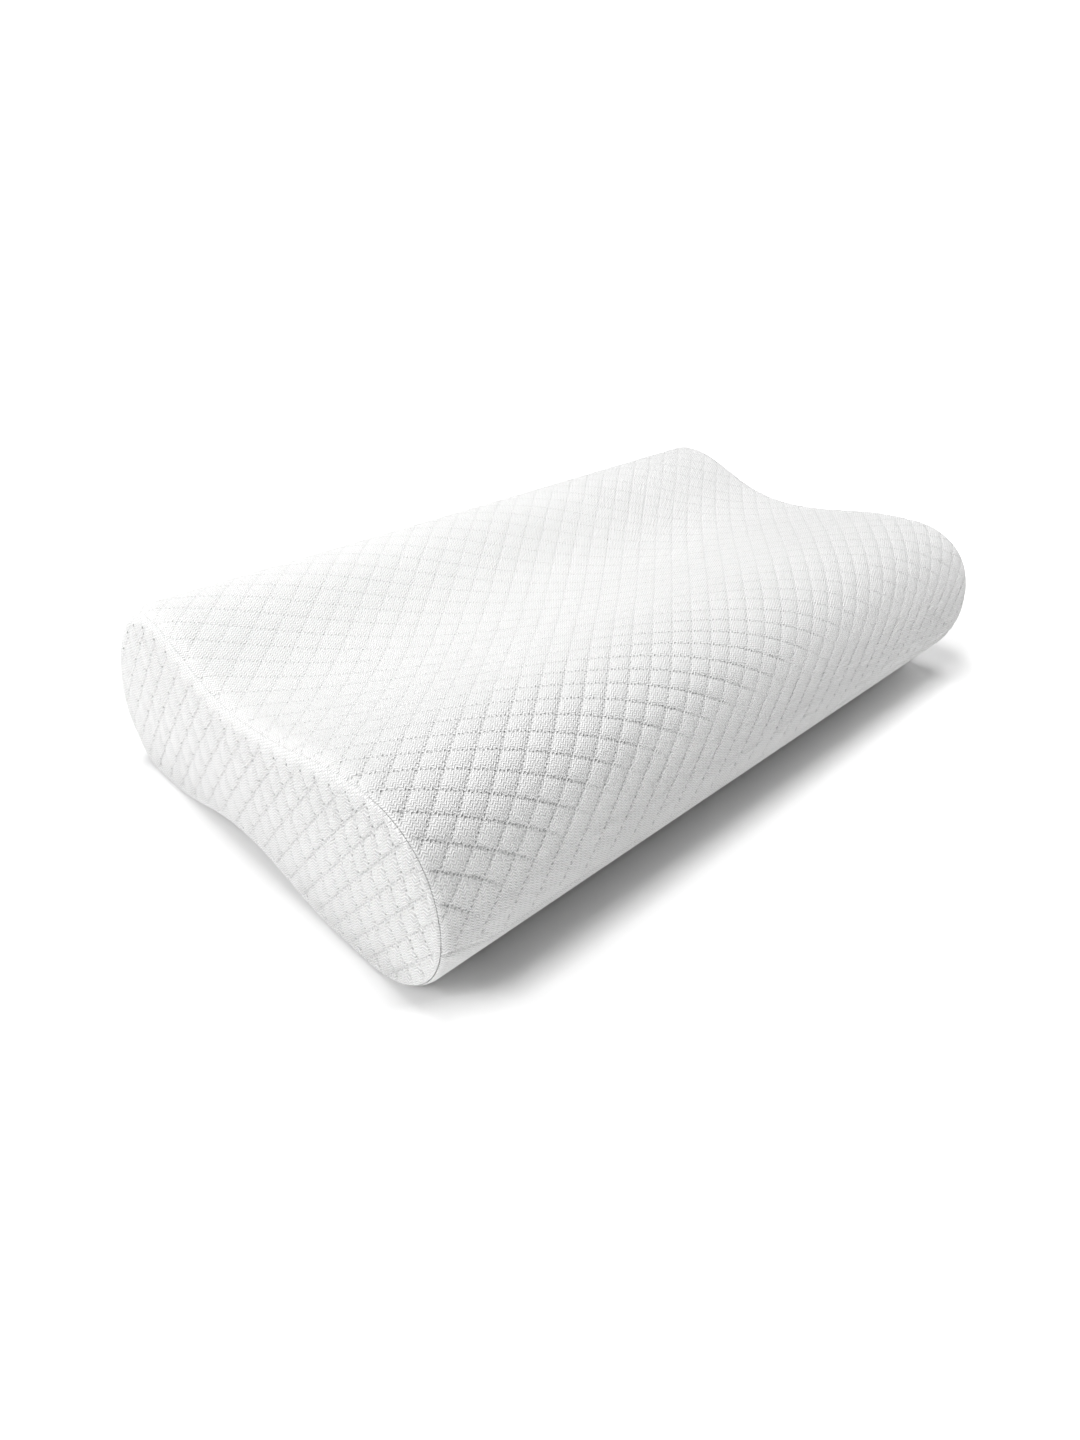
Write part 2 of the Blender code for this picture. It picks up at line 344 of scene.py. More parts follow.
def lattice_places(a, b):
    """Places x and s that have the quilting coordinates a and b: each step of the search goes as
    far as the slopes at the place reached say, by solving two equations for x and s."""
    x, s = np.zeros_like(a), np.full_like(a, LATTICE_S)
    for _ in range(SEARCH_STEPS):
        now = lattice(x, s)
        miss_a, miss_b = a - now[0], b - now[1]
        t, rate = drawn(s)
        (ax, at), (bx, bt) = [
            (
                per_x + 2 * bend_x * x + bend_xt * t,
                (per_t + bend_xt * x + 2 * bend_t * t) * rate,
            )
            for _, per_x, per_t, bend_x, bend_xt, bend_t, _ in LATTICE
        ]
        area = ax * bt - at * bx
        x = np.clip(x + (miss_a * bt - miss_b * at) / area, -FARTHEST_X, FARTHEST_X)
        s = np.clip(s + (miss_b * ax - miss_a * bx) / area, LOWEST_S, None)
    return x, s


def new_piece(name, verts, faces, material, maps=None, values=None):
    """Mesh object from points and faces, shaded smooth, with UV maps and point values by name."""
    mesh = bpy.data.meshes.new(name)
    mesh.from_pydata(np.asarray(verts, dtype=float).tolist(), [], faces)
    mesh.polygons.foreach_set("use_smooth", np.ones(len(mesh.polygons), dtype=bool))
    corner = np.zeros(len(mesh.loops), dtype=np.int32)
    mesh.loops.foreach_get("vertex_index", corner)
    for map_name, uv in (maps or {}).items():
        layer = mesh.uv_layers.new(name=map_name)
        layer.uv.foreach_set("vector", np.asarray(uv, dtype=np.float32)[corner].ravel())
    for value_name, value in (values or {}).items():
        attribute = mesh.attributes.new(value_name, "FLOAT", "POINT")
        attribute.data.foreach_set("value", np.asarray(value, dtype=np.float32))
    mesh.materials.append(material)
    mesh.update()
    item = bpy.data.objects.new(name, mesh)
    bpy.context.scene.collection.objects.link(item)
    return item


def grid_cells(index):
    """Faces between neighbouring columns and rows of an index table. A square that has lost one
    side is a triangle, and one that has lost more is left out."""
    corners = np.column_stack([
        part.ravel() for part in (index[:-1, :-1], index[1:, :-1], index[1:, 1:], index[:-1, 1:])
    ])
    lost = corners == np.roll(corners, -1, axis=1)
    crossed = (corners[:, 0] == corners[:, 2]) | (corners[:, 1] == corners[:, 3])
    faces = corners[(lost.sum(1) == 0) & ~crossed].tolist()
    one = (lost.sum(1) == 1) & ~crossed
    faces += corners[one][~lost[one]].reshape(-1, 3).tolist()
    return faces


def wrap_sheet():
    """The wrap panel laid flat: a grid whose columns and rows run through the crossings of the
    stitching, so that each line of stitching passes through points. What reaches past an edge
    ends on it.

    Returns x and s of the points, the index table, and the points on the near, far, front and
    back edges."""
    inner = SEAM_X - END_SEAM_WIDTH
    edge_x = np.linspace(-inner, inner, EDGE_STEPS)
    edge = [lattice(edge_x, np.full(EDGE_STEPS, q)) for q in (FRONT_SEAM, BACK_EDGE)]
    a, b = np.hstack([e[0] for e in edge]), np.hstack([e[1] for e in edge])
    span = []
    for value in ((a + b) / 2, (a - b) / 2):
        low = math.floor(value.min() * STEPS_PER_DIAMOND) - SPARE_LINES
        high = math.ceil(value.max() * STEPS_PER_DIAMOND) + SPARE_LINES
        span.append(np.arange(low, high + 1))
    i, j = np.meshgrid(*span, indexing="ij")
    x, s = lattice_places((i + j) / STEPS_PER_DIAMOND, (i - j) / STEPS_PER_DIAMOND)
    near_x, far_x = x < SNAP - inner, x > inner - SNAP
    front_s, back_s = s < front_edge(x) + SNAP, s > BACK_EDGE - SNAP
    x = np.where(near_x, -inner, np.where(far_x, inner, x))
    s = np.where(front_s, front_edge(x), np.where(back_s, BACK_EDGE, s))
    columns, rows = x.shape
    column, row = np.meshgrid(np.arange(columns), np.arange(rows), indexing="ij")
    first_column, last_column = near_x.sum(0)[None] - 1, columns - far_x.sum(0)[None]
    first_row, last_row = front_s.sum(1)[:, None] - 1, rows - back_s.sum(1)[:, None]
    in_column, in_row = ~(near_x | far_x), ~(front_s | back_s)
    index = column * rows + row
    to_side = np.clip(column, first_column, last_column) * rows + row
    to_end = column * rows + np.clip(row, first_row, last_row)
    index = np.where(in_row & ~in_column, to_side, np.where(in_column & ~in_row, to_end, index))
    flat_near, flat_far = near_x.ravel(), far_x.ravel()
    flat_front, flat_back = front_s.ravel(), back_s.ravel()
    target = index.copy()
    corner = columns * rows + np.arange(4)
    meetings = [side & end for side in (flat_near, flat_far) for end in (flat_front, flat_back)]
    for place, meeting in zip(corner, meetings):
        target[meeting[index]] = place
    x = np.concatenate((x.ravel(), (-inner, -inner, inner, inner)))
    corner_s = front_edge(np.array((-inner, inner)))
    s = np.concatenate((s.ravel(), (corner_s[0], BACK_EDGE, corner_s[1], BACK_EDGE)))
    used = np.unique(target)
    edges = []
    for fixed, along, value in (
        (x, s, -inner), (x, s, inner), (s - front_edge(x), x, 0.0), (s, x, BACK_EDGE)
    ):
        on_edge = used[np.abs(fixed[used] - value) < SAME]
        edges.append(on_edge[np.argsort(along[on_edge])])
    return x, s, target, edges


def add_shoulders(x, s, edges):
    """Rows of points from the sheet's four edges on to the seams, first at both ends and then
    along the front and the back.

    Returns x and s with the new points, the index tables, and the points on the four seams."""
    near, far, front, back = edges
    inner = SEAM_X - END_SEAM_WIDTH
    tables = []
    for side, line in ((-1, near), (1, far)):
        table = [line]
        first = front_edge(np.array(side * inner))
        for share in SHOULDER:
            new_x = side * (SEAM_X - END_SEAM_WIDTH * share)
            start = front_edge(np.array(new_x))
            up = (s[line] - first) / (BACK_EDGE - first)
            table.append(len(x) + np.arange(len(line)))
            x = np.concatenate((x, np.full(len(line), new_x)))
            s = np.concatenate((s, start + up * (BACK_EDGE - start)))
        tables.append(np.array(table if side > 0 else table[::-1]))
    front = np.concatenate((tables[0][:-1, 0], front, tables[1][1:, 0]))
    back = np.concatenate((tables[0][:-1, -1], back, tables[1][1:, -1]))
    for line, towards in ((front, -1), (back, 1)):
        table = [line]
        for share in SHOULDER:
            new_s = s[line] + towards * LONG_SEAM_WIDTH * (1 - share)
            table.append(len(x) + np.arange(len(line)))
            x = np.concatenate((x, x[line]))
            s = np.concatenate((s, new_s))
        tables.append(np.array(table if towards < 0 else table[::-1]).T[::-1])
    near_seam = np.concatenate((tables[2][-1][::-1], tables[0][0][1:-1], tables[3][-1][::-1]))
    far_seam = np.concatenate((tables[2][0][::-1], tables[1][-1][1:-1], tables[3][0][::-1]))
    return x, s, tables, near_seam, far_seam, tables[2][::-1, -1], tables[3][::-1, 0]


def wrap_relief(x, s):
    """How far the cloth of the wrap lies from the smooth section: the height of the puffs times
    the quilting, less the deeper of the dips towards the nearest seams, with a lip at the front
    near corner. Also how strong the stitching of each family of lines is, and how loose the
    cloth is.

    The falling lines are strongest on the face of the front lobe and run out above the front
    seam, where only the rising lines go on and the cloth is loose. On top both are shallow."""
    from_end = SEAM_X - np.abs(x)
    from_front, from_back = s - front_seam(x), BACK_SEAM - s
    from_long = np.minimum(from_front, from_back)
    ends = blend(ease(from_end, *END_PLAIN), 1.0, roundness(s))
    edge = ends * ease(from_long, *LONG_PLAIN)
    top = on_top(s)
    lowest = blend(*FALLING_LOWEST, ease(x, *FALLING_LOWEST_X))
    on_face = blend(1.0, FAR_FALLING, ease(x, *FAR_FALLING_X))
    falling = ease(s, lowest, FALLING_FADE) * blend(on_face, 1.0, top)
    on_face = blend(NEAR_RISING, FAR_RISING, ease(x, *FAR_RISING_X))
    rising = blend(blend(LOW_RISING, on_face, ease(s, *LOW_RISING_S)), 1.0, top)
    a, b = lattice(x, s)
    puffed = edge * blend(1.0, TOP_PUFF, top)
    relief = quilt(a, b, falling * puffed, rising * puffed) - 1
    sink = np.maximum(end_sink(x, s), LONG_SEAM_SINK * hollow(from_long, LONG_SEAM_WIDTH))
    height, above, half, reach = LIP
    lip = height * smooth(1 - np.abs(from_front - above) / half)
    lip = lip * smooth(1 - (x + SEAM_X) / reach)
    hold_a = edge * falling * blend(1.0, TOP_FALLING, top)
    hold_b = edge * rising * blend(1.0, TOP_RISING, top)
    loose = ease(from_long, *LOOSE_FROM) * (1 - ease(s, lowest, LOOSE_FADE))
    return PUFF * relief - sink + lip, hold_a, hold_b, loose


def make_body(material):
    """Filled body with the wrap panel. Below the long seams the surface runs on under the
    underside panel, and both ends are closed."""
    x, s, table, edges = wrap_sheet()
    faces = grid_cells(table)
    x, s, shoulders, near, far, front, back = add_shoulders(x, s, edges)
    for shoulder in shoulders:
        faces += grid_cells(shoulder)
    rise, *values = wrap_relief(x, s)
    yz = section_points(s, rise)

    outer, hidden = len(x), HIDDEN_ROWS - 2
    side_s = [
        np.linspace(BACK_SEAM, front_seam(np.array(q)) + GIRTH, HIDDEN_ROWS)[1:-1]
        for q in (-SEAM_X, SEAM_X)
    ]
    grid_x, grid_s = np.meshgrid(
        np.linspace(-SEAM_X, SEAM_X, HIDDEN_COLUMNS)[1:-1],
        np.linspace(BACK_SEAM, FRONT_SEAM + GIRTH, HIDDEN_ROWS)[1:-1],
    )
    hidden_x = np.concatenate((np.full(hidden, -SEAM_X), np.full(hidden, SEAM_X), grid_x.ravel()))
    hidden_s = np.concatenate((side_s[0], side_s[1], grid_s.ravel()))
    low_side = outer + np.arange(hidden)
    high_side = low_side + hidden
    loop = np.concatenate((back, high_side, front[::-1], low_side[::-1]))
    inside = outer + np.arange(2 * hidden, len(hidden_x))
    all_x = np.concatenate((x, hidden_x))
    all_s = np.concatenate((s, hidden_s))
    shift = np.zeros(len(all_x))
    shift[front] = GIRTH
    source = np.concatenate((loop, inside))
    flat = [Vector(q) for q in zip(all_x[source], (all_s + shift)[source])]
    edge = [(k, (k + 1) % len(loop)) for k in range(len(loop))]
    filled = delaunay_2d_cdt(flat, edge, [], 1, SAME_FILLED)
    origin = source[[o[0] for o in filled[3]]]
    faces += [[int(origin[k]) for k in face] for face in filled[2]]
    hidden_yz = section_points(hidden_s, -UNDERSIDE_THICK - GAP)
    faces.append(np.concatenate((low_side, near)).tolist()[::-1])
    faces.append(np.concatenate((high_side, far)).tolist())

    verts = np.column_stack((all_x, np.vstack((yz, hidden_yz))))
    a, b = lattice(all_x, all_s)
    none = np.zeros(len(hidden_x))
    maps = {"lattice": np.column_stack((a, b)), "cloth": np.column_stack((all_x, all_s))}
    values = {
        key: np.concatenate((value, none))
        for key, value in zip(("hold_a", "hold_b", "loose"), values)
    }
    return trimmed_piece("quilted_body", verts, faces, material, maps, values)


def trimmed_piece(name, verts, faces, material, maps, values):
    """New piece without the points that no face uses."""
    used = np.zeros(len(verts), dtype=bool)
    used[np.concatenate([np.asarray(face) for face in faces])] = True
    place = np.cumsum(used) - 1
    faces = [place[face].tolist() for face in faces]
    maps = {key: value[used] for key, value in maps.items()}
    values = {key: value[used] for key, value in values.items()}
    return new_piece(name, verts[used], faces, material, maps, values)


def end_lattice(y, z):
    """Quilting coordinates of an end panel: one family of lines falls towards the back, the other
    stands and fans out over the high lobe."""
    up = z - END_MIDDLE_Z
    a, b = [
        y / along + up / upwards + start for along, upwards, start in (END_FALLING, END_STANDING)
    ]
    return a, b + END_FAN * (y - END_FAN_Y) * up


def edge_roundness(y, z):
    """The same as roundness, for places on an end panel."""
    return ease(y, *END_ROUND_Y) * ease(z, *END_ROUND_Z)


def end_height(d, y, z):
    """Distance of an end panel's cloth from the middle of the pillow: d inside its edge it rolls
    over and goes on as a low dome. Over the top the roll is wide and round."""
    w = edge_roundness(y, z)
    out = SEAM_X + blend(END_GAP, ROUND_GAP, w)
    roll = RIM_ROLL * np.sqrt(1 - (1 - np.clip(d / RIM_ROLL, 0.0, 1.0)) ** 2)
    share = np.clip(d / END_DOME_REACH, 0.0, 1.0)
    bow = share * (2 - share)
    tight = out + roll + (END_FACE_X - out - RIM_ROLL) * bow
    turn = np.clip(1 - (ROUND_SINK + d) / ROUND, 0.0, 1.0)
    wide = ROUND_FACE_X - ROUND * (1 - np.sqrt(1 - turn ** 2)) + (END_FACE_X - ROUND_FACE_X) * bow
    return np.maximum(blend(tight, wide, w), out)


def make_end(name, side, material):
    """End panel: rings from the seam over the rolled rim, then a surface patch that is filled in
    between its four sides, all domed and quilted. A point of the patch is the even blend of the
    left and right sides plus that of the bottom and top sides, less that of the four corners."""
    middle = STEPS_PER_STRETCH // 2
    s_a, s_b, s_c, s_d = [ALONG[k * STEPS_PER_STRETCH + middle] for k in (1, 2, 5, 6)]
    v = np.linspace(0.0, 1.0, END_STEPS_SHORT + 1)
    u = np.linspace(0.0, 1.0, END_STEPS_LONG + 1)
    s_left, s_right = s_a + v * (s_b - s_a), s_d - v * (s_d - s_c)
    s_top, s_bottom = s_b + u * (s_c - s_b), s_a + GIRTH - u * (s_a + GIRTH - s_d)
    ring_s = np.concatenate((s_left[:-1], s_top[:-1], s_right[:0:-1], s_bottom[:0:-1]))
    rings = np.vstack([section_points(ring_s, -seam_inset(ring_s) - d) for d in RIM])

    inner = RIM[-1] + RIM_TO_PATCH
    left, right, top, bottom = [
        section_points(q, -seam_inset(q) - inner) for q in (s_left, s_right, s_top, s_bottom)
    ]
    uu, vv = u[:, None, None], v[None, :, None]
    patch = (
        (1 - uu) * left[None] + uu * right[None] + (1 - vv) * bottom[:, None] + vv * top[:, None]
        - (1 - uu) * (1 - vv) * bottom[0] - (1 - uu) * vv * top[0]
        - uu * (1 - vv) * bottom[-1] - uu * vv * top[-1]
    )
    columns, rows = patch.shape[:2]
    line_s = np.linspace(0.0, GIRTH, RIM_LINE_STEPS, endpoint=False)
    rim_line = section_points(line_s, -seam_inset(line_s) - inner)
    from_rim = nearest(patch.reshape(-1, 2), rim_line)
    yz = np.vstack((patch.reshape(-1, 2), rings))
    d = np.concatenate((from_rim + inner, np.repeat(RIM, len(ring_s))))
    a, b = end_lattice(yz[:, 0], yz[:, 1])
    rounded = edge_roundness(yz[:, 0], yz[:, 1])
    hold = ease(d, END_PUFF_FROM, END_PUFF_FADE + ROUND_PUFF_FADE * rounded)
    x = end_height(d, yz[:, 0], yz[:, 1])
    x += END_PUFF * (quilt(a, b, END_FALLING_SHARE * hold, hold) - 1)
    stitched = ease(d, END_STITCH_FROM, END_STITCH_FADE + ROUND_STITCH_FADE * rounded)
    hold_a, hold_b = END_FALLING_SHARE * stitched, END_STITCH * stitched

    grid = np.arange(columns * rows).reshape(columns, rows)
    border = np.concatenate((grid[0, :-1], grid[:-1, -1], grid[-1, :0:-1], grid[:0:-1, 0]))
    ring_index = columns * rows + np.arange(len(rings)).reshape(len(RIM), -1)
    ring_index = np.vstack((ring_index, border))
    ring_index = np.hstack((ring_index, ring_index[:, :1]))
    faces = grid_cells(ring_index) + grid_cells(grid)
    faces.append(ring_index[0, :-1][::-1].tolist())
    if side > 0:
        faces = [face[::-1] for face in faces]
    maps = {"lattice": np.column_stack((a, b)), "cloth": yz}
    values = {"hold_a": hold_a, "hold_b": hold_b}
    return new_piece(name, np.column_stack((side * x, yz)), faces, material, maps, values)


def nearest(points, line):
    """Shortest distance from each point to a closed run of straight edges."""
    best = np.full(len(points), np.inf)
    for a, b in zip(line, np.roll(line, -1, axis=0)):
        edge = b - a
        t = np.clip((points - a) @ edge / (edge @ edge), 0.0, 1.0)
        best = np.minimum(best, np.linalg.norm(points - a - t[:, None] * edge, axis=1))
    return best


def make_underside(material):
    """Plain panel between the long seams, with the ends tucked in. Each ring runs along the
    outside from the back seam to the front seam and returns along the inside."""
    first = np.array(UNDERSIDE_ENDS)
    even = np.linspace(UNDERSIDE_EVEN - SEAM_X, SEAM_X - UNDERSIDE_EVEN, UNDERSIDE_COLUMNS)
    x = np.concatenate((first - SEAM_X, even, SEAM_X - first[::-1]))
    start = BACK_SEAM + GAP
    end = front_seam(x)[:, None] + GIRTH - GAP
    near = np.array(UNDERSIDE_LONG)
    share = np.linspace(0.0, 1.0, UNDERSIDE_ROWS)[None, 1:-1]
    middle = start + UNDERSIDE_EVEN + (end - start - 2 * UNDERSIDE_EVEN) * share
    first_rows = np.broadcast_to(start + near, (len(x), len(near)))
    outer = np.hstack((first_rows, middle, end - near[::-1]))
    from_end = (SEAM_X - np.abs(x))[:, None]
    from_long = np.minimum(outer - start, end - outer)
    end_width, long_width = UNDERSIDE_SINK_WIDTHS
    end_dip = UNDERSIDE_SINK * hollow(from_end, end_width)
    sink = np.maximum(end_dip, LONG_SEAM_SINK * hollow(from_long, long_width))
    inner = outer[:, ::-UNDERSIDE_INNER_SKIP]
    s = np.hstack((outer, inner))
    rise = np.hstack((-sink, np.full(inner.shape, -UNDERSIDE_THICK)))
    yz = section_points(s, rise)
    verts = np.dstack((np.broadcast_to(x[:, None], s.shape), yz)).reshape(-1, 3)
    count = s.shape[1]
    index = np.arange(len(x) * count).reshape(len(x), count)
    faces = grid_cells(np.hstack((index, index[:, :1])))
    faces.append(index[0][::-1].tolist())
    faces.append(index[-1].tolist())
    flat = np.dstack((np.broadcast_to(x[:, None], s.shape), s)).reshape(-1, 2)
    return new_piece("plain_underside", verts, faces, material, {"cloth": flat})


# Materials

# White of the quilted cloth and of the plain cloth
QUILTED_WHITE = (0.87, 0.87, 0.867, 1.0)
PLAIN_WHITE = (0.84, 0.84, 0.835, 1.0)
CLOTH_FINISH = {
    "Roughness": 0.92,
    "Specular IOR Level": 0.2,
    "Sheen Weight": 0.15,
    "Sheen Roughness": 0.6,
}
# Knit: how fine and how detailed its fuzz and its clouds are, and how high its slanting stitches
# are beside the fuzz
FUZZ = (700.0, 2.0)
CLOUDS = (14.0, 3.0)
SLANT_HEIGHT = 0.45
# Tint of the knit: what its height adds as painted shade in its hollows, what its clouds of
# tone add, and what it is without them
HOLLOW_SHADE_TINT, CLOUD_TINT, LEAST_TINT = 1.3, 0.35, 0.325
# Paleness of the cloth: what the tint adds, and what it is without it
TINT_PALE, LEAST_PALE = 0.22, 0.747
# A stitch's dimple starts and is full where the wave along its line is this high
HOLE_FROM, HOLE_FULL = -0.4, 0.9
# The dimples are this much darker: painted shade where the stitches sink into the cloth
STITCH_PAINTED_SHADE = 0.40
# Heights of the bump, in metres: knit, groove, dimple and wrinkles
KNIT_HEIGHT = 0.00042
GROOVE_HEIGHT = -0.00015
STITCH_HEIGHT = -0.00055
WRINKLE_HEIGHT = 0.0030
# Wrinkles: how they are turned on the cloth, how fine they are along and across, and how detailed
WRINKLE_TURN = (0.0, 0.0, 0.5)
WRINKLE_SCALE = (70.0, 200.0, 1.0)
WRINKLE_DETAIL = 2.0


class Nodes:
    """Short way to place and link the nodes of one tree. A value is a number or an output."""

    def __init__(self, tree):
        self.tree = tree

    def add(self, kind, **settings):
        """New node with its settings by name."""
        node = self.tree.nodes.new(kind)
        for key, value in settings.items():
            setattr(node, key, value)
        return node

    def link(self, source, target):
        """Put a value into an input."""
        if isinstance(source, (int, float)):
            target.default_value = source
        else:
            self.tree.links.new(source, target)

    def math(self, operation, first, second=None, third=None):
        """Result of one calculation with up to three values."""
        node = self.add("ShaderNodeMath", operation=operation)
        for k, value in enumerate((first, second, third)):
            if value is not None:
                self.link(value, node.inputs[k])
        return node.outputs[0]

    def ramp(self, value, low, high, out_low=0.0, out_high=1.0):
        """Smooth step of a value from low to high."""
        node = self.add("ShaderNodeMapRange", interpolation_type="SMOOTHSTEP")
        for k, source in enumerate((value, low, high, out_low, out_high)):
            self.link(source, node.inputs[k])
        return node.outputs[0]

    def noise(self, place, scale, detail):
        """Cloudy values from 0 to 1 at a place."""
        node = self.add("ShaderNodeTexNoise")
        self.link(place, node.inputs["Vector"])
        self.link(scale, node.inputs["Scale"])
        self.link(detail, node.inputs["Detail"])
        return node.outputs[0]

    def axes(self, place):
        """The three coordinates of a place."""
        node = self.add("ShaderNodeSeparateXYZ")
        self.link(place, node.inputs[0])
        return node.outputs

    def gray(self, value):
        """Colour that is the same value three times."""
        node = self.add("ShaderNodeCombineColor")
        for socket in node.inputs:
            self.link(value, socket)
        return node.outputs[0]


def group(name, inputs, outputs):
    """Empty node group with named sockets, its nodes helper and its two end nodes."""
    tree = bpy.data.node_groups.new(name, "ShaderNodeTree")
    for socket_name, kind, value in inputs:
        socket = tree.interface.new_socket(socket_name, in_out="INPUT", socket_type=kind)
        if value is not None:
            socket.default_value = value
    for socket_name, kind in outputs:
        tree.interface.new_socket(socket_name, in_out="OUTPUT", socket_type=kind)
    nodes = Nodes(tree)
    return tree, nodes, nodes.add("NodeGroupInput"), nodes.add("NodeGroupOutput")


def stitched_line_group():
    """One family of stitching: a groove where Across is whole, with a dimple for each stitch along
    it where a wave is high, and a swing to either side. Groove and Stitch are 1 in the groove and
    in the dimple."""
    tree, n, enter, leave = group(
        "stitched_line",
        (
            ("Across", "NodeSocketFloat", 0.0),
            ("Along", "NodeSocketFloat", 0.0),
            ("Hold", "NodeSocketFloat", 1.0),
            ("Stitches per Diamond", "NodeSocketFloat", 6.0),
            ("Groove Width", "NodeSocketFloat", 0.16),
            ("Stitch Width", "NodeSocketFloat", 0.08),
            ("Wander", "NodeSocketFloat", 0.022),
        ),
        (("Groove", "NodeSocketFloat"), ("Stitch", "NodeSocketFloat")),
    )
    turns = n.math("MULTIPLY", enter.outputs["Along"], enter.outputs["Stitches per Diamond"])
    wave = n.math("COSINE", n.math("MULTIPLY", turns, 2 * math.pi))
    swing = n.math("COSINE", n.math("MULTIPLY", turns, math.pi))
    across = n.math("MULTIPLY_ADD", swing, enter.outputs["Wander"], enter.outputs["Across"])
    away = n.math("ABSOLUTE", n.math("SUBTRACT", across, n.math("ROUND", across)))
    groove = n.ramp(away, 0.0, enter.outputs["Groove Width"], 1.0, 0.0)
    line = n.ramp(away, 0.0, enter.outputs["Stitch Width"], 1.0, 0.0)
    hole = n.ramp(wave, HOLE_FROM, HOLE_FULL)
    n.link(n.math("MULTIPLY", groove, enter.outputs["Hold"]), leave.inputs["Groove"])
    dimple = n.math("MULTIPLY", n.math("MULTIPLY", line, hole), enter.outputs["Hold"])
    n.link(dimple, leave.inputs["Stitch"])
    return tree


def knit_group():
    """Knitted cloth: a wave along each rib, shifted more and more and then less and less across
    the ribs, so that its slant turns from one rib to the next, with fuzz on it. Vector is in
    metres on the cloth. Tint follows the height, darker where the knit lies low as painted shade
    in its hollows, with faint clouds of tone."""
    tree, n, enter, leave = group(
        "knit",
        (
            ("Vector", "NodeSocketVector", None),
            ("Rib", "NodeSocketFloat", 0.0032),
            ("Stitch", "NodeSocketFloat", 0.0016),
        ),
        (("Height", "NodeSocketFloat"), ("Tint", "NodeSocketFloat")),
    )
    split = n.axes(enter.outputs["Vector"])
    rib = n.math("DIVIDE", split[0], enter.outputs["Rib"])
    slant = n.math("MULTIPLY", n.math("PINGPONG", rib, 0.5), 2.0)
    turns = n.math("DIVIDE", split[1], enter.outputs["Stitch"])
    phase = n.math("MULTIPLY", n.math("ADD", turns, slant), 2 * math.pi)
    wave = n.math("SINE", phase)
    fuzz = n.noise(enter.outputs["Vector"], *FUZZ)
    height = n.math("MULTIPLY_ADD", wave, SLANT_HEIGHT, fuzz)
    n.link(height, leave.inputs["Height"])
    clouds = n.noise(enter.outputs["Vector"], *CLOUDS)
    faint = n.math("MULTIPLY_ADD", clouds, CLOUD_TINT, LEAST_TINT)
    # Painted shade: the tint is darker where the knit's height is low
    n.link(n.math("MULTIPLY_ADD", height, HOLLOW_SHADE_TINT, faint), leave.inputs["Tint"])
    return tree


def cloth_material(name, color, stitched, knit, line):
    """White knit. On the quilt each family of lines adds its grooves and dimples to the bump and
    paints shade into the dimples, and loose cloth has wrinkles."""
    material = bpy.data.materials.new(name)
    material.use_nodes = True
    n = Nodes(material.node_tree)
    shader = material.node_tree.nodes["Principled BSDF"]
    for key, value in CLOTH_FINISH.items():
        shader.inputs[key].default_value = value
    cloth_map = n.add("ShaderNodeUVMap", uv_map="cloth")
    knitted = n.add("ShaderNodeGroup", node_tree=knit)
    n.link(cloth_map.outputs[0], knitted.inputs["Vector"])
    height = n.math("MULTIPLY", knitted.outputs["Height"], KNIT_HEIGHT)
    shade = n.math("MULTIPLY_ADD", knitted.outputs["Tint"], TINT_PALE, LEAST_PALE)
    if stitched:
        lattice_map = n.add("ShaderNodeUVMap", uv_map="lattice")
        split = n.axes(lattice_map.outputs[0])
        dimples = []
        for across, along, hold in ((0, 1, "hold_a"), (1, 0, "hold_b")):
            held = n.add("ShaderNodeAttribute", attribute_name=hold)
            run = n.add("ShaderNodeGroup", node_tree=line)
            n.link(split[across], run.inputs["Across"])
            n.link(split[along], run.inputs["Along"])
            n.link(held.outputs["Fac"], run.inputs["Hold"])
            height = n.math("MULTIPLY_ADD", run.outputs["Groove"], GROOVE_HEIGHT, height)
            height = n.math("MULTIPLY_ADD", run.outputs["Stitch"], STITCH_HEIGHT, height)
            dimples.append(run.outputs["Stitch"])
        # Painted shade: the stitch dimples are darkened in colour
        painted_shade = n.math("MULTIPLY_ADD", n.math("MAXIMUM", *dimples), -STITCH_PAINTED_SHADE, 1.0)
        shade = n.math("MULTIPLY", shade, painted_shade)
        loose = n.add("ShaderNodeAttribute", attribute_name="loose")
        turned = n.add("ShaderNodeMapping")
        n.link(cloth_map.outputs[0], turned.inputs["Vector"])
        turned.inputs["Rotation"].default_value = WRINKLE_TURN
        turned.inputs["Scale"].default_value = WRINKLE_SCALE
        wrinkles = n.noise(turned.outputs[0], 1.0, WRINKLE_DETAIL)
        folds = n.math("MULTIPLY", wrinkles, loose.outputs["Fac"])
        height = n.math("MULTIPLY_ADD", folds, WRINKLE_HEIGHT, height)
    bump = n.add("ShaderNodeBump")
    bump.inputs["Strength"].default_value = 1.0
    bump.inputs["Distance"].default_value = 1.0
    n.link(height, bump.inputs["Height"])
    n.link(bump.outputs[0], shader.inputs["Normal"])
    tint = n.add("ShaderNodeMix", data_type="RGBA", blend_type="MULTIPLY")
    tint.inputs["Factor"].default_value = 1.0
    tint.inputs[6].default_value = color
    n.link(n.gray(shade), tint.inputs[7])
    n.link(tint.outputs[2], shader.inputs["Base Color"])
    return material


# Studio

# Camera: its place in metres, where it looks from as degrees round and up, its sensor and lens in
# millimetres, and the nearest and farthest that it sees in metres
CAMERA_PLACE = (-0.41202, -0.39279, 0.33757)
CAMERA_ROUND, CAMERA_UP = -44.08, 31.27
SENSOR_WIDTH, SENSOR_HEIGHT = 27.0, 36.0
LENS = 22.97
CAMERA_SEES = (0.01, 100.0)
# Strength of the backdrop, which only the camera sees
BACKDROP = 1.1
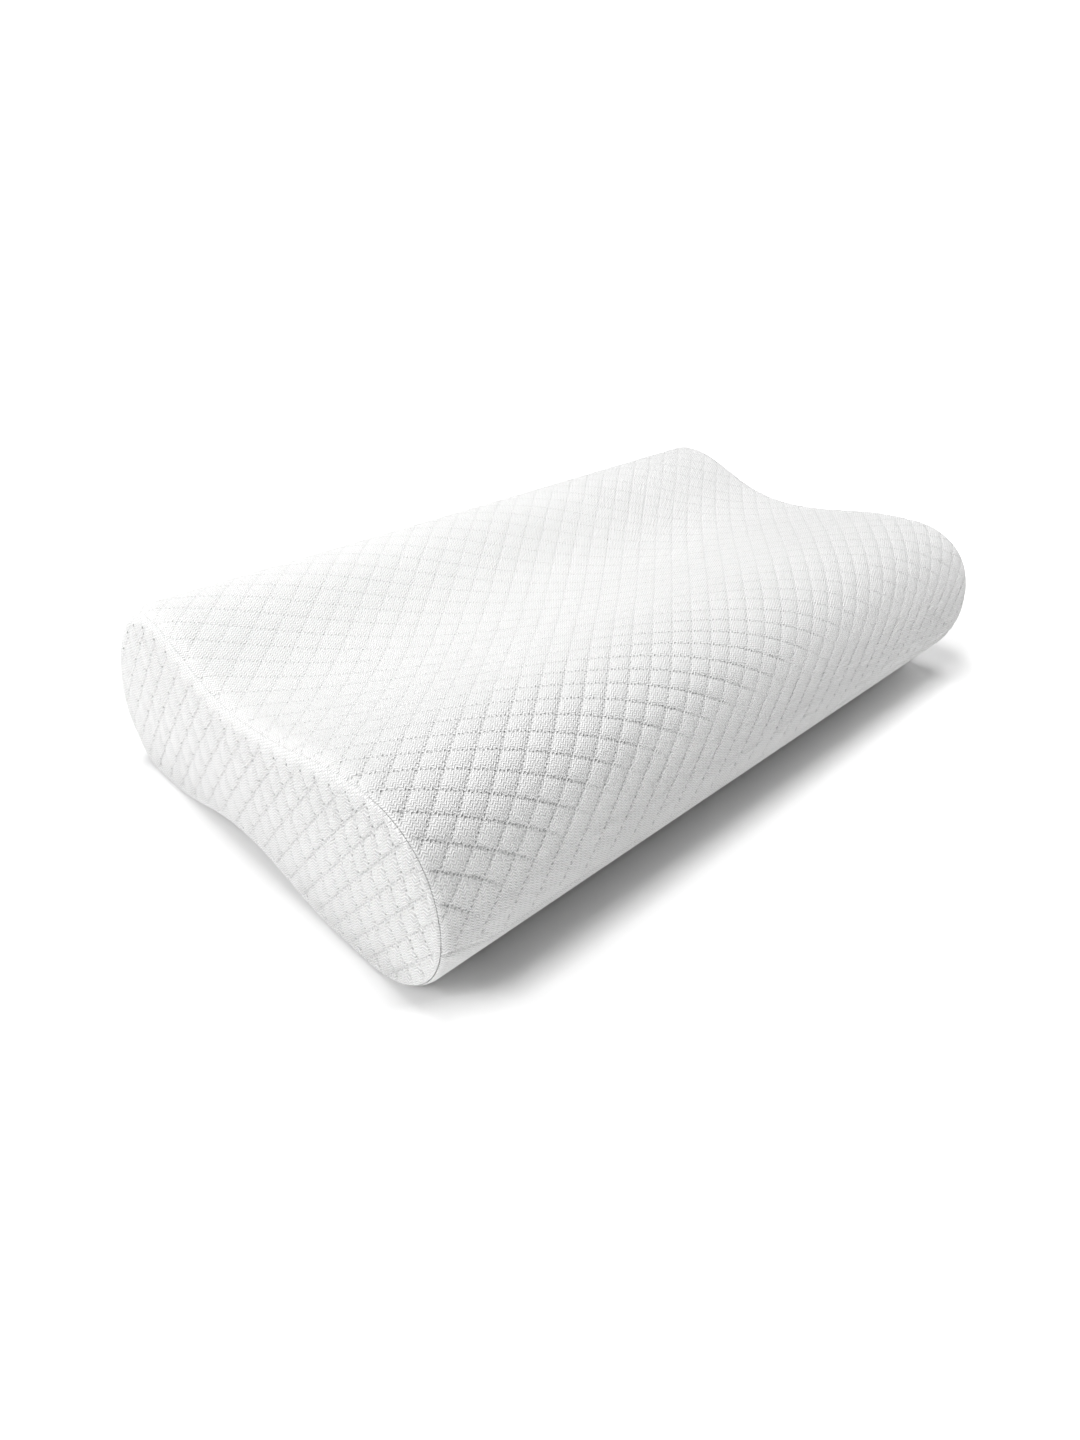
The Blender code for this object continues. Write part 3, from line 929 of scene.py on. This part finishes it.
# Lights. Columns: name, kind, strength, softness in degrees or size in metres, place
LIGHTS = (
    ("left", "SUN", 1.24, 20, (-0.7, 0.0, 0.7)),
    ("above", "SUN", 1.10, 20, (0.0, 0.0, 1.0)),
    ("front", "SUN", 0.39, 20, (-0.3, -0.6, 0.7)),
    ("over_back", "AREA", 2.56, 0.4, (-0.10, 0.25, 0.75)),
    ("far_fill", "AREA", 0.82, 0.4, (0.60, -0.30, 0.45)),
    ("back_fill", "AREA", 1.06, 0.4, (-0.55, 0.40, 0.50)),
)
# Floor: half its width, its height and its paleness
FLOOR_HALF = 40.0
FLOOR_Z = -0.0002
FLOOR_PALE = 0.93
# Half length and half depth of the block that the floor's distance from the pillow counts from
GLOW_HALF = (0.25, 0.13)
# Glow of the floor: all round the pillow, beside its near end, and far off as the camera alone
# sees it. Columns: strength, distance where it starts, distance where it is full. Those of the
# second count from the pillow's middle
FLOOR_GLOW = (0.226, 0.033, 0.058)
SIDE_GLOW = (0.32, 0.262, 0.300)
SEEN_GLOW = (0.50, 0.050, 0.250)
# In front of the pillow the glow beside it starts nearer: by how much, and from where to where
# that sets in
CORNER_NEARER = 0.060
CORNER_FRONT = (0.120, 0.160)
# Share of its paleness that the floor keeps where the pillow's shadow is deepest, and from where
# to where that sets in at the front and along the front, and ends along it
SHADOW_PALE = 0.64
SHADOW_FRONT = (0.120, 0.170)
SHADOW_NEAR = (-0.235, -0.200)
SHADOW_FAR = (0.140, 0.270)


def add_camera():
    """Camera at the photograph's place, turn and lens."""
    az, el = math.radians(CAMERA_ROUND), math.radians(CAMERA_UP)
    back = Vector((math.sin(az) * math.cos(el), -math.cos(az) * math.cos(el), math.sin(el)))
    data = bpy.data.cameras.new("camera")
    data.sensor_fit = "VERTICAL"
    data.sensor_height = SENSOR_HEIGHT
    data.sensor_width = SENSOR_WIDTH
    data.lens = LENS
    data.clip_start, data.clip_end = CAMERA_SEES
    camera = bpy.data.objects.new("camera", data)
    camera.location = CAMERA_PLACE
    camera.rotation_mode = "QUATERNION"
    camera.rotation_quaternion = back.to_track_quat("Z", "Y")
    bpy.context.scene.collection.objects.link(camera)
    bpy.context.scene.camera = camera


def add_floor():
    """Pale floor that glows a little around the pillow and more beside its near end, and is less
    pale where the pillow's shadow is deepest. Far from the pillow it looks even, without a
    horizon. Each glow is a smooth step of a distance."""
    material = bpy.data.materials.new("pale_floor")
    material.use_nodes = True
    n = Nodes(material.node_tree)
    shader = material.node_tree.nodes["Principled BSDF"]
    shader.inputs["Roughness"].default_value = 1.0
    shader.inputs["Specular IOR Level"].default_value = 0.0
    shader.inputs["Emission Color"].default_value = (1.0, 1.0, 1.0, 1.0)
    x, y, _ = n.axes(n.add("ShaderNodeTexCoord").outputs["Object"])
    away = []
    for along, half in zip((x, y), GLOW_HALF):
        past = n.math("SUBTRACT", n.math("ABSOLUTE", along), half)
        away.append(n.math("POWER", n.math("MAXIMUM", past, 0.0), 2.0))
    distance = n.math("SQRT", n.math("ADD", *away))
    front = n.math("MULTIPLY", y, -1.0)
    beside = n.math("SUBTRACT", n.ramp(front, *CORNER_FRONT, 0.0, CORNER_NEARER), x)
    glow, side, far = [
        n.ramp(where, start, full, 0.0, strength)
        for where, (strength, start, full) in (
            (distance, FLOOR_GLOW), (beside, SIDE_GLOW), (distance, SEEN_GLOW)
        )
    ]
    seen = n.add("ShaderNodeLightPath").outputs["Is Camera Ray"]
    glow = n.math("MULTIPLY_ADD", far, seen, n.math("ADD", glow, side))
    near_side = n.ramp(x, *SHADOW_NEAR, 1.0, SHADOW_PALE)
    far_side = n.ramp(x, *SHADOW_FAR, SHADOW_PALE, 1.0)
    deepest = n.math("MAXIMUM", near_side, far_side)
    pale = n.math("MULTIPLY", n.ramp(front, *SHADOW_FRONT, deepest, 1.0), FLOOR_PALE)
    n.link(n.gray(pale), shader.inputs["Base Color"])
    n.link(glow, shader.inputs["Emission Strength"])
    corners = ((-1, -1), (1, -1), (1, 1), (-1, 1))
    verts = [(FLOOR_HALF * right, FLOOR_HALF * back, FLOOR_Z) for right, back in corners]
    floor = new_piece("floor", verts, [(0, 1, 2, 3)], material)


def add_light():
    """Soft light from the left and above, a little from the front, and three lamps behind and
    beyond the far end. The backdrop is pale and gives no light."""
    world = bpy.data.worlds.new("studio")
    bpy.context.scene.world = world
    world.use_nodes = True
    backdrop = world.node_tree.nodes["Background"]
    backdrop.inputs[0].default_value = (1.0, 1.0, 1.0, 1.0)
    n = Nodes(world.node_tree)
    seen = n.add("ShaderNodeLightPath").outputs["Is Camera Ray"]
    n.link(n.math("MULTIPLY", seen, BACKDROP), backdrop.inputs[1])
    for name, kind, strength, softness, place in LIGHTS:
        light = bpy.data.lights.new(name, kind)
        light.energy = strength
        if kind == "SUN":
            light.angle = math.radians(softness)
        else:
            light.shape = "DISK"
            light.size = softness
        lamp = bpy.data.objects.new(name, light)
        lamp.location = place
        lamp.rotation_mode = "QUATERNION"
        lamp.rotation_quaternion = Vector(place).to_track_quat("Z", "Y")
        bpy.context.scene.collection.objects.link(lamp)
    settings = bpy.context.scene.view_settings
    settings.view_transform = "Standard"
    settings.look = "None"


def main():
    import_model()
    knit = knit_group()
    line = stitched_line_group()
    quilted = cloth_material("quilted_knit", QUILTED_WHITE, True, knit, line)
    plain = cloth_material("plain_knit", PLAIN_WHITE, False, knit, line)
    pieces = (
        (make_body(quilted), "filled_body", "quilted_knit"),
        (make_end("end_near", -1, quilted), "end_panel_left", "quilted_knit"),
        (make_end("end_far", 1, quilted), "end_panel_right", "quilted_knit"),
        (make_underside(plain), "underside_panel", "plain_knit"),
    )
    for piece, node, slot in pieces:
        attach(piece, "root")
        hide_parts(node)
    add_floor()
    add_light()
    add_camera()


main()
